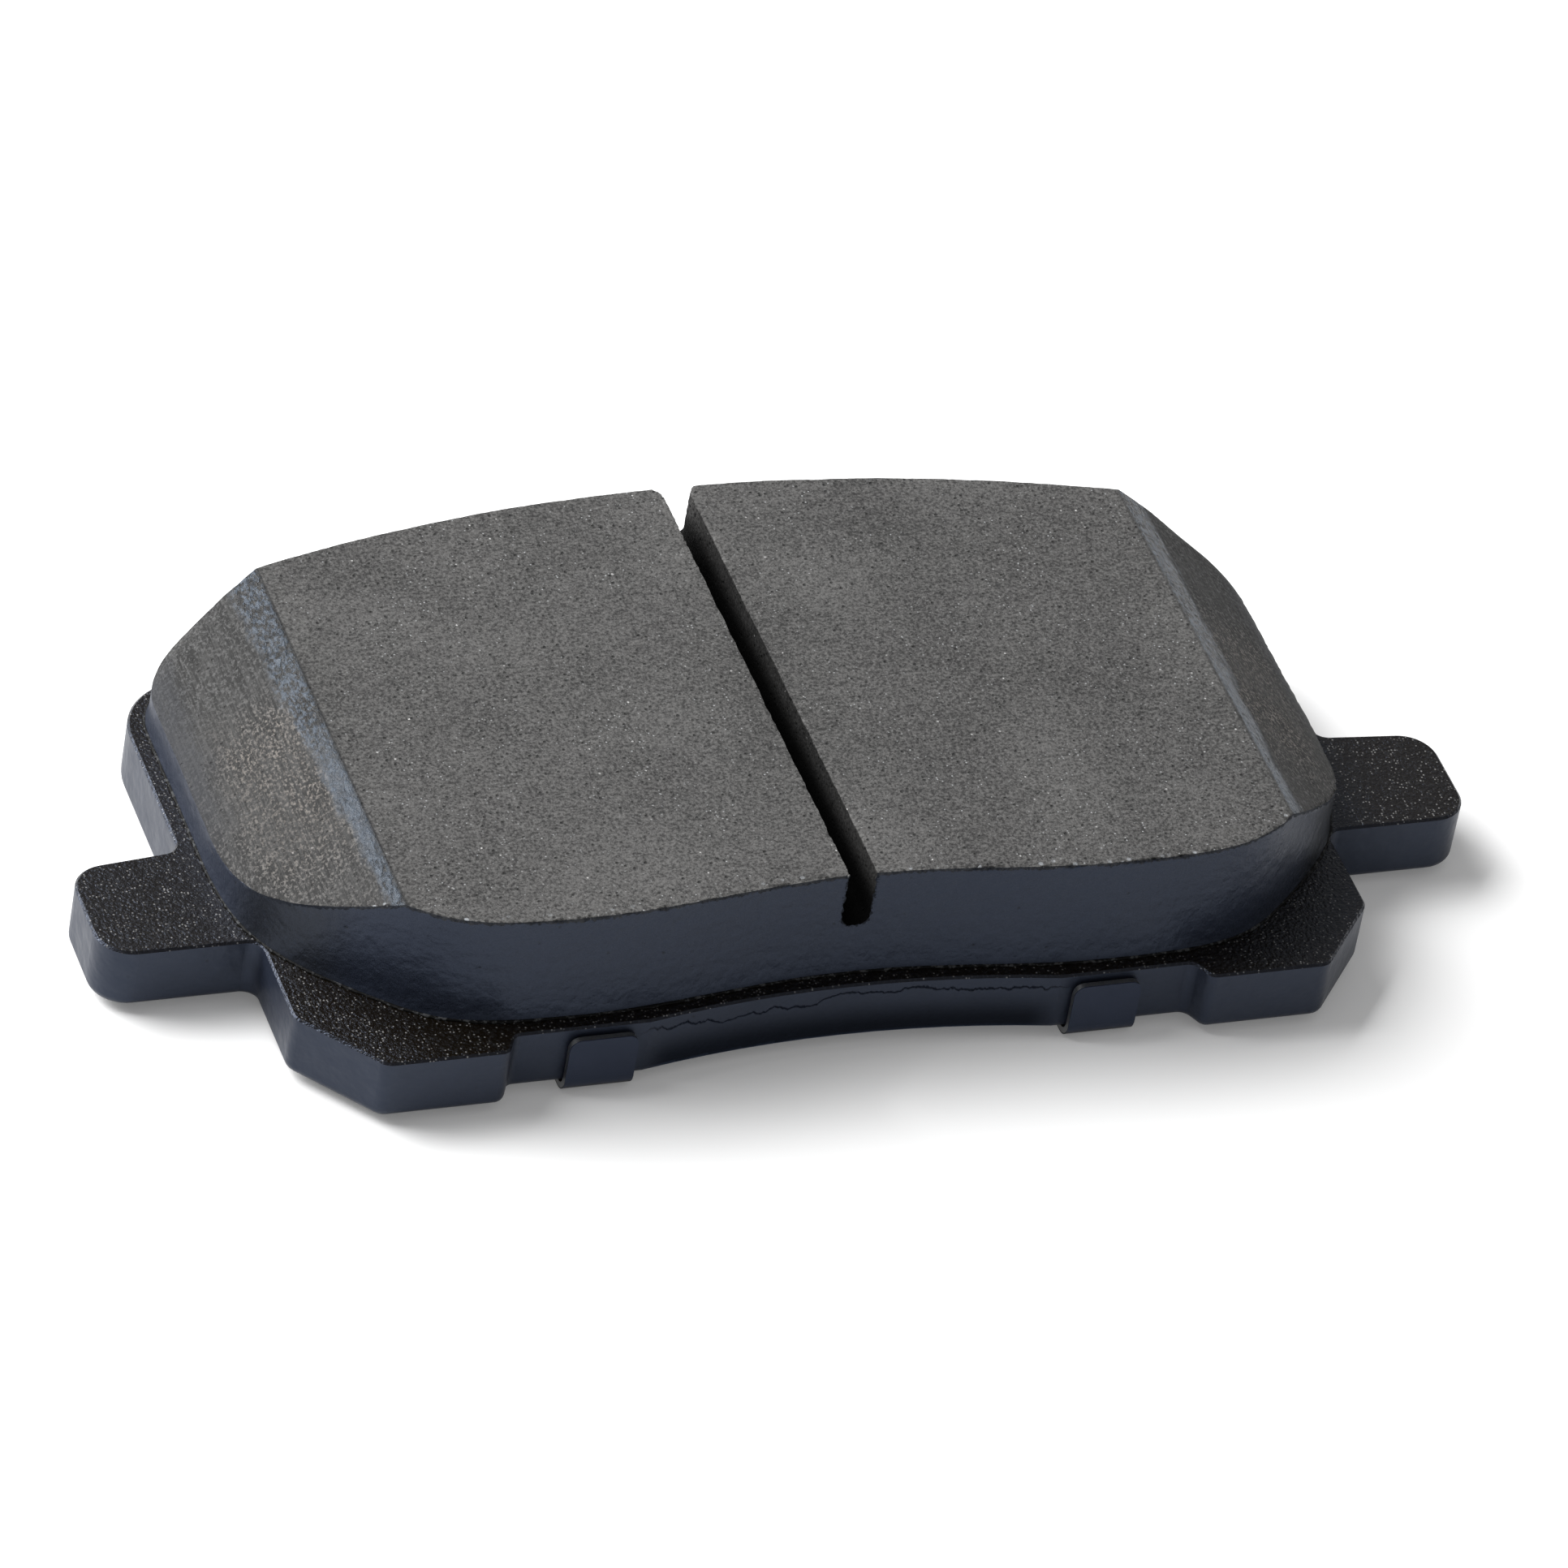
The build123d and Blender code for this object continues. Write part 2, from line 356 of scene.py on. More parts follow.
def paint_blue(level):
    """Colour of the blue-grey edge paint."""
    return (level * 0.7, level * 0.88, level * 1.45, 1.0)


def friction_surface(recipe):
    """Colour, roughness, normal and metal flecks of the bare friction compound."""
    cloud = recipe.noise(12.0, 3)
    blotch = recipe.noise(1.1, 4, roughness=0.65)
    mottle = recipe.noise(0.32, 3, roughness=0.75)
    tone = recipe.math("MULTIPLY_ADD", mottle, 1.35, recipe.math("MULTIPLY", blotch, 0.45))
    tone = recipe.math("MULTIPLY_ADD", cloud, 0.28, tone)
    colour = recipe.mix(recipe.rise(tone, 0.78, 1.31), grey(0.012, 0.02), grey(0.106, 0.02))
    distance, number = recipe.cells(0.62)
    pit = recipe.math("MULTIPLY", recipe.rise(distance, 0.1, 0.34, 1.0, 0.0), recipe.rise(number, 0.5, 0.9))
    colour = recipe.mix(recipe.math("MULTIPLY", pit, 0.92), colour, grey(0.006))
    patch = recipe.rise(recipe.noise(8.0, 3), 0.38, 0.62, 0.15, 1.0)
    dust, dust_chance = recipe.cells(0.36)
    chosen = recipe.rise(dust_chance, 0.68, 0.92)
    fleck = recipe.math("MULTIPLY", recipe.rise(dust, 0.12, 0.28, 1.0, 0.0), chosen)
    fleck = recipe.math("MULTIPLY", fleck, patch)
    colour = recipe.mix(recipe.math("MULTIPLY", fleck, 0.85), colour, grey(0.36, -0.02))
    spot, chance = recipe.cells(1.3)
    glint = recipe.math("MULTIPLY", recipe.rise(spot, 0.04, 0.1, 1.0, 0.0), recipe.rise(chance, 0.7, 0.9))
    colour = recipe.mix(glint, colour, grey(0.6, 0.01))
    height = recipe.math("SUBTRACT", tone, recipe.math("MULTIPLY", pit, 1.2))
    rough = recipe.math("SUBTRACT", 0.85, recipe.math("MULTIPLY", glint, 0.3))
    return colour, rough, recipe.bump(height, 0.07), glint


def paint_surface(recipe, level):
    """Colour, roughness and normal of the satin blue-grey edge paint."""
    cloud = recipe.noise(5.0, 3)
    speck = recipe.noise(0.35, 3)
    colour = recipe.mix(cloud, paint_blue(level * 0.8), paint_blue(level * 1.25))
    spot, chance = recipe.cells(1.6)
    pit = recipe.math("MULTIPLY", recipe.rise(spot, 0.05, 0.13, 1.0, 0.0), recipe.rise(chance, 0.5, 0.8))
    colour = recipe.mix(pit, colour, grey(0.002))
    rough = recipe.math("MULTIPLY_ADD", cloud, 0.12, recipe.math("MULTIPLY_ADD", speck, 0.12, 0.3))
    soft = recipe.bump(recipe.noise(1.1, 3), 0.13)
    fine = recipe.math("SUBTRACT", speck, pit)
    return colour, rough, recipe.bump(fine, 0.02, soft)


def depth_below_face(recipe, face_z):
    """How far a point lies under the ground face, chamfers included."""
    beyond = recipe.math("SUBTRACT", recipe.math("ABSOLUTE", recipe.x), CHAMFER_X)
    drop = recipe.math("MULTIPLY", recipe.math("MAXIMUM", beyond, 0.0), CHAMFER_SLOPE)
    return recipe.math("SUBTRACT", recipe.math("SUBTRACT", face_z, drop), recipe.z)


def friction_material():
    """Ground friction face. Its chamfers are scored and worn, with a strip of paint along each, its pale
    patches painted highlight.
    """
    recipe = Recipe("friction_face")
    colour, rough, normal, fleck = friction_surface(recipe)
    side = recipe.math("ABSOLUTE", recipe.x)
    streak = recipe.noise(0.3, 4, stretch=(0.9, 1.4, 1.0), roughness=0.75)
    worn_patch = recipe.rise(recipe.y, -17.0, -6.0, 0.2, 1.0)
    worn_patch = recipe.math("MULTIPLY", worn_patch, recipe.rise(recipe.y, 11.0, 2.0))
    worn_patch = recipe.math("MULTIPLY", worn_patch, recipe.rise(side, 49.5, 46.5, 0.2, 1.0))
    pale = recipe.mix(worn_patch, grey(0.075, 0.0), (0.18, 0.162, 0.146, 1.0))
    tan = recipe.mix(recipe.rise(streak, 0.48, 0.63), grey(0.003, 0.02), pale)
    chamfer = recipe.rise(side, CHAMFER_X - 0.1, CHAMFER_X + 0.5)
    patchy = recipe.rise(recipe.noise(7.0, 3), 0.35, 0.6, 0.45, 0.9)
    groove = recipe.rise(recipe.noise(0.25, 3, stretch=(0.6, 30.0, 1.0)), 0.45, 0.6)
    colour = recipe.mix(recipe.math("MULTIPLY", chamfer, 0.5), colour, grey(0.004))
    colour = recipe.mix(recipe.math("MULTIPLY", chamfer, patchy), colour, tan)
    scored = recipe.math("MULTIPLY", recipe.math("MULTIPLY", chamfer, groove), 0.2)
    colour = recipe.mix(scored, colour, grey(0.1, 0.01))

    wander = recipe.noise(1.1, 4, stretch=(1.0, 3.0, 1.0))
    width = recipe.rise(recipe.y, -20.0, 14.0, 1.3, 2.5)
    inner = recipe.rise(side, CHAMFER_X - 0.2, CHAMFER_X + 0.2)
    reach = recipe.math("SUBTRACT", side, CHAMFER_X)
    reach = recipe.math("MULTIPLY_ADD", recipe.math("SUBTRACT", wander, 0.5), 1.8, reach)
    outer = recipe.rise(recipe.math("SUBTRACT", reach, width), -0.6, 0.25, 1.0, 0.0)
    scratch = recipe.rise(recipe.noise(0.35, 5, stretch=(1.0, 2.5, 1.0), roughness=0.65), 0.3, 0.52)
    whole = recipe.rise(recipe.noise(5.0, 3), 0.42, 0.6)
    scratch = recipe.math("MAXIMUM", scratch, recipe.math("MULTIPLY", whole, 0.85))
    strip = recipe.math("MULTIPLY", recipe.math("MULTIPLY", inner, outer), scratch)
    # The strip's dark paint is broken by pale blue-grey: painted highlight, the key light's reflection in
    # bumpy paint, more even towards the lower end.
    cobble = recipe.noise(0.42, 4, stretch=(0.9, 1.5, 1.0), roughness=0.7)
    smooth = recipe.rise(recipe.y, 4.0, -8.0, 0.0, 0.7)
    crust_highlight = recipe.math("MAXIMUM", recipe.rise(cobble, 0.44, 0.56), smooth)
    paint = recipe.mix(crust_highlight, grey(0.003, -0.1), (0.05, 0.068, 0.094, 1.0))
    colour = recipe.mix(recipe.math("MULTIPLY", strip, 0.92), colour, paint)
    rough = recipe.math("MULTIPLY_ADD", strip, -0.47, rough)
    normal = recipe.bump(recipe.math("MULTIPLY", strip, cobble), 0.3, normal)
    crease = recipe.math("ABSOLUTE", recipe.math("SUBTRACT", side, CHAMFER_X - 0.1))
    crease = recipe.rise(recipe.math("MULTIPLY_ADD", wander, 0.3, crease), 0.1, 0.4, 0.7, 0.0)
    colour = recipe.mix(crease, colour, grey(0.008))

    edge = recipe.math("MULTIPLY_ADD", wander, 2.4, recipe.math("MULTIPLY_ADD", streak, 4.0, side))
    edge = recipe.rise(edge, 50.6, 53.6)
    above = recipe.rise(recipe.y, -10.0, 4.0)
    overspray = recipe.math("MULTIPLY", recipe.math("MULTIPLY", edge, above), 0.7)
    colour = recipe.mix(overspray, colour, paint_blue(0.01))
    rough = recipe.math("MULTIPLY_ADD", overspray, -0.15, rough)

    rim = recipe.node("ShaderNodeAttribute", {"attribute_name": "rim"}).outputs["Fac"]
    crumb, number = recipe.cells(0.6)
    crumb = recipe.math("MULTIPLY", recipe.rise(crumb, 0.25, 0.45, 1.0, 0.0), rim)
    hollow = recipe.math("MULTIPLY", crumb, recipe.rise(number, 0.3, 0.45))
    flake = recipe.math("MULTIPLY", crumb, recipe.rise(number, 0.1, 0.2, 1.0, 0.0))
    flake = recipe.math("MULTIPLY", flake, recipe.rise(side, 44.0, 46.0, 1.0, 0.0))
    colour = recipe.mix(flake, recipe.mix(hollow, colour, grey(0.008)), grey(0.3, -0.05))
    return recipe.finish(Base_Color=colour, Roughness=rough, Normal=normal, Metallic=fleck)


def slot_material(face_z):
    """Sawn sides and floor of the slot, with painted shade: lighter by the crown, darker with depth, near
    black towards the bottom.
    """
    recipe = Recipe("sawn_slot")
    colour, rough, normal, _ = friction_surface(recipe)
    depth = depth_below_face(recipe, face_z)
    # Painted shade: darkening with depth under the face, to near black at the floor; crown_light lifts it by
    # the open crown end.
    crown_light = recipe.rise(recipe.y, 22.0, 27.5, 0.0, 0.4)
    shaded = recipe.math("SUBTRACT", recipe.rise(depth, 0.0, 0.25, 0.4, 0.8), crown_light)
    colour = recipe.mix(shaded, colour, grey(0.006))
    colour = recipe.mix(recipe.rise(depth, 1.0, 3.5), colour, grey(0.0015))
    return recipe.finish(Base_Color=colour, Roughness=rough, Normal=normal, Specular_IOR_Level=0.08)


def wall_material(face_z):
    """Painted side of the block: chipped at the ground edge, torn round the slot, with painted shade on the
    slot's mouth and in patches at two lower corners.
    """
    recipe = Recipe("painted_wall")
    colour, rough, normal = paint_surface(recipe, 0.015)
    bare, _, _, _ = friction_surface(recipe)
    ragged = recipe.math("MULTIPLY", recipe.noise(0.4, 4), 0.8)
    ragged = recipe.math("MULTIPLY_ADD", recipe.noise(2.5, 2), 0.45, ragged)
    depth = depth_below_face(recipe, face_z)
    chipped = recipe.rise(recipe.math("SUBTRACT", depth, ragged), -0.34, -0.24, 1.0, 0.0)
    colour = recipe.mix(chipped, colour, recipe.mix(0.7, bare, grey(0.003)))
    # Painted shade in ragged patches at the block's lower corners.
    corner = recipe.rise(recipe.math("ABSOLUTE", recipe.x), 42.0, 46.0)
    corner = recipe.math("MULTIPLY", corner, recipe.rise(recipe.y, -6.0, -13.0))
    corner_shade = recipe.math("MULTIPLY", corner, recipe.rise(ragged, 0.2, 0.6))
    colour = recipe.mix(corner_shade, colour, grey(0.003, 0.05))
    beside = recipe.math("SUBTRACT", recipe.math("ABSOLUTE", recipe.x), SLOT_HALF_WIDTH - SLOT_ROUNDING)
    below = recipe.math("SUBTRACT", depth, SLOT_DEPTH - SLOT_ROUNDING)
    beside = recipe.math("POWER", recipe.math("MAXIMUM", beside, 0.0), 2.0)
    below = recipe.math("POWER", recipe.math("MAXIMUM", below, 0.0), 2.0)
    past_slot = recipe.math("SUBTRACT", recipe.math("SQRT", recipe.math("ADD", beside, below)), SLOT_ROUNDING)
    fray = recipe.noise(0.3, 4, roughness=0.7)
    torn = recipe.rise(recipe.math("MULTIPLY_ADD", fray, -1.3, past_slot), -0.56, -0.5, 1.0, 0.0)
    # Painted shade: the torn edge round the slot's mouth is darkened to near black, like the inside of the
    # slot.
    colour = recipe.mix(torn, colour, grey(0.003))
    chipped = recipe.math("MAXIMUM", chipped, torn)
    rough = recipe.math("ADD", rough, recipe.math("MULTIPLY", chipped, 0.4))
    sheen = {"Specular_Tint": PAINT_SHEEN, "Specular_IOR_Level": 0.42}
    return recipe.finish(Base_Color=colour, Roughness=rough, Normal=normal, **sheen)


def plate_material(high):
    """Backing plate: gritty powder coat in front, satin edges and an orange-peel back.

    The arched edge has a wandering shear line, with painted shade along it and below it.
    """
    recipe = Recipe("painted_plate")
    surface = recipe.node("ShaderNodeNewGeometry").outputs["Normal"]
    facing = recipe.node("ShaderNodeSeparateXYZ", {}, {0: surface}).outputs[2]
    front = recipe.rise(facing, 0.4, 0.8)
    back = recipe.rise(facing, -0.9, -0.3, 1.0, 0.0)
    edge_colour, _, _ = paint_surface(recipe, 0.015)
    grit = recipe.noise(0.3, 3)
    grain, chance = recipe.cells(0.27)
    sparkle = recipe.rise(grain, 0.15, 0.4, 1.0, 0.0)
    sparkle = recipe.math("MULTIPLY", sparkle, recipe.rise(chance, 0.55, 0.95))
    front_colour = recipe.mix(recipe.rise(grit, 0.5, 0.7), (0.005, 0.003, 0.0005, 1.0), grey(0.012, 0.1))
    front_colour = recipe.mix(sparkle, front_colour, grey(0.21, 0.02))
    back_colour = recipe.mix(recipe.noise(0.8, 2), grey(0.01, -0.05), grey(0.024, -0.05))
    colour = recipe.mix(back, recipe.mix(front, edge_colour, front_colour), back_colour)
    height = recipe.mix(back, recipe.noise(1.6, 2), recipe.math("MULTIPLY", recipe.noise(0.8, 2), 1.9))
    height = recipe.mix(front, height, recipe.math("MULTIPLY", grit, 1.3))
    wander = recipe.noise(1.8, 5, stretch=(1.0, 1.0, 3.0), roughness=0.6)
    shear = recipe.math("MULTIPLY_ADD", recipe.noise(16.0, 2), 3.0, recipe.math("MULTIPLY", wander, 2.6))
    shear = recipe.math("SUBTRACT", recipe.z, recipe.math("ADD", shear, high - 4.0))
    arch = recipe.rise(recipe.math("ABSOLUTE", recipe.x), 16.0, 20.0, 1.0, 0.0)
    arch = recipe.math("MULTIPLY", arch, recipe.rise(recipe.y, -8.0, -12.0))
    torn = recipe.math("MULTIPLY", recipe.rise(shear, -0.12, 0.12), arch)
    # Painted shade on the arched edge: along the shear line and towards the bottom, as near-black colour and
    # as metal, which hides the floor's reflection there.
    crease = recipe.rise(recipe.math("ABSOLUTE", shear), 0.03, 0.18, 0.8, 0.0)
    dull = recipe.math("MAXIMUM", crease, recipe.rise(recipe.z, high - 1.4, high - 4.8, 0.0, 0.75))
    dull = recipe.math("MULTIPLY", dull, arch)
    colour = recipe.mix(dull, colour, grey(0.002))
    normal = recipe.bump(height, 0.1, recipe.bump(torn, 0.2))
    rough = recipe.math("MULTIPLY_ADD", recipe.noise(2.0, 3), 0.15, 0.34)
    rough = recipe.math("MULTIPLY_ADD", front, -0.12, rough)
    sheen = {"Specular_Tint": PAINT_SHEEN, "Specular_IOR_Level": 0.42}
    return recipe.finish(Base_Color=colour, Roughness=rough, Normal=normal, Metallic=dull, **sheen)


def rubber_material():
    """Smooth black rubber coat of the shim, with faint rubs. Its tabs get a satin blue-grey that is painted
    reflection of the floor.
    """
    recipe = Recipe("shim_rubber")
    rub = recipe.noise(2.2, 5, stretch=(4.0, 1.0, 1.0))
    tab = recipe.rise(recipe.z, 0.5, 1.2)
    flat_colour = recipe.mix(recipe.rise(rub, 0.45, 0.75), grey(0.002), grey(0.005, -0.1))
    # Painted reflection: the tabs' lighter blue-grey stands in for the floor mirrored in the same rubber.
    tab_reflection_colour = recipe.mix(recipe.noise(3.0, 3), paint_blue(0.026), paint_blue(0.036))
    colour = recipe.mix(tab, flat_colour, tab_reflection_colour)
    rough = recipe.math("MULTIPLY_ADD", rub, 0.14, 0.3)
    normal = recipe.bump(recipe.noise(0.8, 3), 0.01)
    sheen = {"Specular_Tint": PAINT_SHEEN, "Specular_IOR_Level": 0.16}
    return recipe.finish(Base_Color=colour, Roughness=rough, Normal=normal, **sheen)


def steel_material():
    """Cold-rolled shim steel seen at the sheared edges."""
    recipe = Recipe("shim_steel")
    drag = recipe.noise(0.12, 3, stretch=(1.0, 1.0, 8.0))
    colour = recipe.mix(drag, grey(0.16, -0.02), grey(0.34, -0.02))
    rough = recipe.math("MULTIPLY_ADD", drag, 0.2, 0.32)
    return recipe.finish(Base_Color=colour, Roughness=rough, Metallic=1.0, Normal=recipe.bump(drag, 0.015))


def adhesive_material():
    """Dull dark adhesive film between the shim and the plate."""
    recipe = Recipe("shim_adhesive")
    smear = recipe.noise(1.2, 4)
    colour = recipe.mix(smear, grey(0.015, 0.1), grey(0.04, 0.15))
    rough = recipe.math("MULTIPLY_ADD", smear, 0.2, 0.5)
    return recipe.finish(Base_Color=colour, Roughness=rough, Normal=recipe.bump(smear, 0.02))


def bond_material():
    """Cured bond squeezed out round the block's foot: dull black with greyer specks."""
    recipe = Recipe("bond")
    lump = recipe.noise(0.45, 4)
    colour = recipe.mix(recipe.rise(lump, 0.5, 0.64), grey(0.003), grey(0.06, -0.04))
    rough = recipe.math("MULTIPLY_ADD", lump, 0.25, 0.5)
    normal = recipe.bump(lump, 0.08)
    return recipe.finish(Base_Color=colour, Roughness=rough, Normal=normal, Specular_IOR_Level=0.15)


def underlayer_material():
    """Coarse brown-grey underlayer compound, seen only where it is not painted."""
    recipe = Recipe("underlayer")
    colour, rough, normal, _ = friction_surface(recipe)
    return recipe.finish(Base_Color=recipe.mix(0.5, colour, grey(0.05, 0.3)), Roughness=rough, Normal=normal)


# ---------------------------------------------------------------------------------------------
# Friction block, underlayer and bond line
# ---------------------------------------------------------------------------------------------


class Foot:
    """Outline of the block and the way out of it at any point near it."""

    def __init__(self, name, height):
        loop = even_loop(outline(name, height), OUTLINE_STEP)
        self.points = smooth_loop(loop, int(OUTLINE_SMOOTHING / OUTLINE_STEP))
        along = np.roll(self.points, -1, axis=0) - np.roll(self.points, 1, axis=0)
        along /= np.hypot(*along.T)[:, None]
        self.outward = np.stack([along[:, 1], -along[:, 0]], axis=1)
        self.tree = kdtree.KDTree(len(self.points))
        for i, (x, y) in enumerate(self.points):
            self.tree.insert((x, y, 0), i)
        self.tree.balance()

    def nearest(self, points):
        """Distance to the outline and outward direction for each point."""
        found = [self.tree.find((x, y, 0)) for x, y, _ in points]
        distance = np.array([hit[2] for hit in found])
        return distance, self.outward[[hit[1] for hit in found]]

    def half(self):
        """Points of the right half, from the bottom of the plane of symmetry to its top."""
        lower = np.flatnonzero(self.points[:, 1] < 0)
        start = lower[np.argmin(np.abs(self.points[lower, 0]))]
        turned = np.roll(self.points, -start, axis=0)
        return turned[turned[:, 0] >= 0]


def block_height(x, face_z):
    """Height of the ground face, chamfers included."""
    return face_z - np.maximum(np.abs(x) - CHAMFER_X, 0) * CHAMFER_SLOPE


def spaced(count, crowding):
    """Places from 0 to 1, closer together at both ends."""
    even = np.linspace(0, 1, count)
    return even - crowding * np.sin(2 * math.pi * even) / (2 * math.pi)


def half_sheet(foot):
    """Columns of points over the right half of the block, from the slot's edge to the end wall."""
    half = foot.half()
    widest = np.argmax(half[:, 0])
    lower, upper = half[:widest], half[widest:][::-1]
    rows = spaced(ROW_COUNT, ROW_CROWDING)
    columns = []
    for x in np.linspace(SLOT_HALF_WIDTH, CHAMFER_X, int((CHAMFER_X - SLOT_HALF_WIDTH) / COLUMN_STEP)):
        low = np.interp(x, lower[:, 0], lower[:, 1])
        high = np.interp(x, upper[:, 0], upper[:, 1])
        columns.append(np.stack([np.full(ROW_COUNT, x), low + (high - low) * rows], axis=1))
    inner = columns[-1]
    beyond = np.vstack([inner[:1], half[half[:, 0] > CHAMFER_X], inner[-1:]])
    along = np.concatenate([[0], np.cumsum(np.hypot(*np.diff(beyond, axis=0).T))])
    first, last = np.searchsorted(along, np.array(END_CORNERS) * along[-1])
    squeeze = np.linspace(0, 1, END_COLUMNS) ** END_CROWDING
    bottom = points_along(beyond[: first + 1], squeeze)
    top = points_along(beyond[last:][::-1], squeeze)
    right = points_along(beyond[first : last + 1], rows)
    end = coons(bottom, top, inner, right, squeeze, rows)
    return columns + [end[i] for i in range(1, END_COLUMNS)]


def coons(bottom, top, left, right, u, v):
    """Grid between four edges that meet at their ends, with the given spacing both ways."""
    u = u[:, None, None]
    v = v[None, :, None]
    across = (1 - v) * bottom[:, None] + v * top[:, None]
    upward = (1 - u) * left[None, :] + u * right[None, :]
    corners = (1 - u) * ((1 - v) * bottom[0] + v * top[0]) + u * ((1 - v) * bottom[-1] + v * top[-1])
    return across + upward - corners


class BlockMesh:
    """Friction block with its slot: a sheet of columns over the top and walls hung from its edge.

    Levels count downwards from the ground face, and each has its share of the block's height.
    """

    def __init__(self, foot, low_z, face_z):
        slot_share = SLOT_DEPTH / (face_z - low_z)
        slot_shares = np.linspace(SLOT_SIDE_START, slot_share, SLOT_SIDE_LEVELS)
        lower_shares = np.linspace(slot_share, 1, LOWER_LEVELS)[1:]
        self.shares = np.concatenate([RIM_SHARES, slot_shares, lower_shares])
        self.slot_level = len(RIM_SHARES) + SLOT_SIDE_LEVELS - 1
        self.last_level = len(self.shares) - 1
        self.low_z = low_z
        self.face_z = face_z
        self.points = []
        self.faces = []
        self.face_materials = []
        self.hung = {}
        self.lay_columns(foot)
        self.lay_sheet()
        self.hang_walls()
        self.close_base()

    def lay_columns(self, foot):
        """Columns across the top, down one side of the slot, over its floor and up the other side."""
        right = half_sheet(foot)
        left = [column * np.array([-1, 1]) for column in right[::-1]]
        self.columns = [(column, 0) for column in left]
        self.left_edge = len(self.columns) - 1
        self.columns += [(left[-1], level) for level in range(1, self.slot_level + 1)]
        for share in np.linspace(0, 1, FLOOR_COLUMNS + 2)[1:-1]:
            self.columns.append((left[-1] + (right[0] - left[-1]) * share, self.slot_level))
        self.columns += [(right[0], level) for level in range(self.slot_level, 0, -1)]
        self.right_edge = len(self.columns)
        self.columns += [(column, 0) for column in right]
        slot_sides = list(range(self.left_edge + 1, self.left_edge + self.slot_level + 1))
        slot_sides += list(range(self.right_edge - self.slot_level, self.right_edge))
        self.across = [c for c in range(len(self.columns)) if c not in slot_sides]

    def height(self, x, level):
        """Z of a level at one X."""
        top = block_height(x, self.face_z)
        return top - self.shares[level] * (top - self.low_z)

    def add_face(self, material, corners):
        """Add one face with its material."""
        self.faces.append(tuple(corners))
        self.face_materials.append(material)

    def lay_sheet(self):
        """Points of the columns, and the faces between them."""
        for column, level in self.columns:
            self.points += list(np.column_stack([column, self.height(column[:, 0], level)]))
        for c in range(len(self.columns) - 1):
            material = SAWN if self.left_edge <= c < self.right_edge else GROUND
            for r in range(ROW_COUNT - 1):
                a = c * ROW_COUNT + r
                self.add_face(material, (a, a + ROW_COUNT, a + ROW_COUNT + 1, a + 1))

    def wall_point(self, c, r, level):
        """Number of the point at one level under a place on the sheet's edge."""
        if level == self.columns[c][1]:
            return c * ROW_COUNT + r
        if c == self.left_edge and level <= self.slot_level:
            return (c + level) * ROW_COUNT + r
        if c == self.right_edge and level <= self.slot_level:
            return (c - level) * ROW_COUNT + r
        if (c, r, level) not in self.hung:
            self.hung[c, r, level] = len(self.points)
            x, y = self.columns[c][0][r]
            self.points.append(np.array([x, y, self.height(x, level)]))
        return self.hung[c, r, level]

    def rim(self):
        """Column and row of each place round the sheet's edge."""
        last = len(self.columns) - 1
        near = [(c, 0) for c in self.across]
        right = [(last, r) for r in range(1, ROW_COUNT - 1)]
        far = [(c, ROW_COUNT - 1) for c in reversed(self.across)]
        left = [(0, r) for r in range(ROW_COUNT - 2, 0, -1)]
        return near + right + far + left

    def hang_walls(self):
        """Painted walls from the sheet's edge down to the base."""
        rim = self.rim()
        for (c, r), (next_c, next_r) in zip(rim, rim[1:] + rim[:1]):
            for level in range(max(self.columns[c][1], self.columns[next_c][1]), self.last_level):
                self.add_face(PAINTED, (
                    self.wall_point(c, r, level),
                    self.wall_point(c, r, level + 1),
                    self.wall_point(next_c, next_r, level + 1),
                    self.wall_point(next_c, next_r, level),
                ))

    def close_base(self):
        """Flat base: a strip between each two columns and a filled row of points at each end."""
        level = self.last_level
        for c, next_c in zip(self.across, self.across[1:]):
            self.add_face(COMPOUND, (
                self.wall_point(c, 0, level),
                self.wall_point(c, ROW_COUNT - 1, level),
                self.wall_point(next_c, ROW_COUNT - 1, level),
                self.wall_point(next_c, 0, level),
            ))
        for c in (0, len(self.columns) - 1):
            self.add_face(COMPOUND, (self.wall_point(c, r, level) for r in range(ROW_COUNT)))


def friction_block(foot, materials):
    """Worn friction block. Gives the outline of its base."""
    block = BlockMesh(foot, *heights("friction_block"))
    wear = Wear(np.array(block.points), foot, block.face_z)
    wear.crumble_rim()
    wear.wear_slot()
    wear.roughen_face()
    piece = make_piece("friction_material", wear.worn, block.faces, materials, block.face_materials)
    piece.data.attributes.new("rim", "FLOAT", "POINT").data.foreach_set("value", wear.rim_closeness())
    stand_for(piece, "friction_block")
    return np.array([block.columns[c][0][r] for c, r in block.rim()])


def wall_shift(points, foot_z):
    """How far the painted wall stands out from the CAD outline at each point."""
    wave = WALL_WAVE * ripple(points, 5.0, seed=1) + WALL_GRAIN * ripple(points, 0.9, seed=2)
    return wave + FOOT_FLARE * np.exp((foot_z - points[:, 2]) / FOOT_HEIGHT)


def fade(distance, reach):
    """Share that falls from 1 to 0 as a distance grows to its reach."""
    return np.clip(1 - distance / reach, 0, 1)


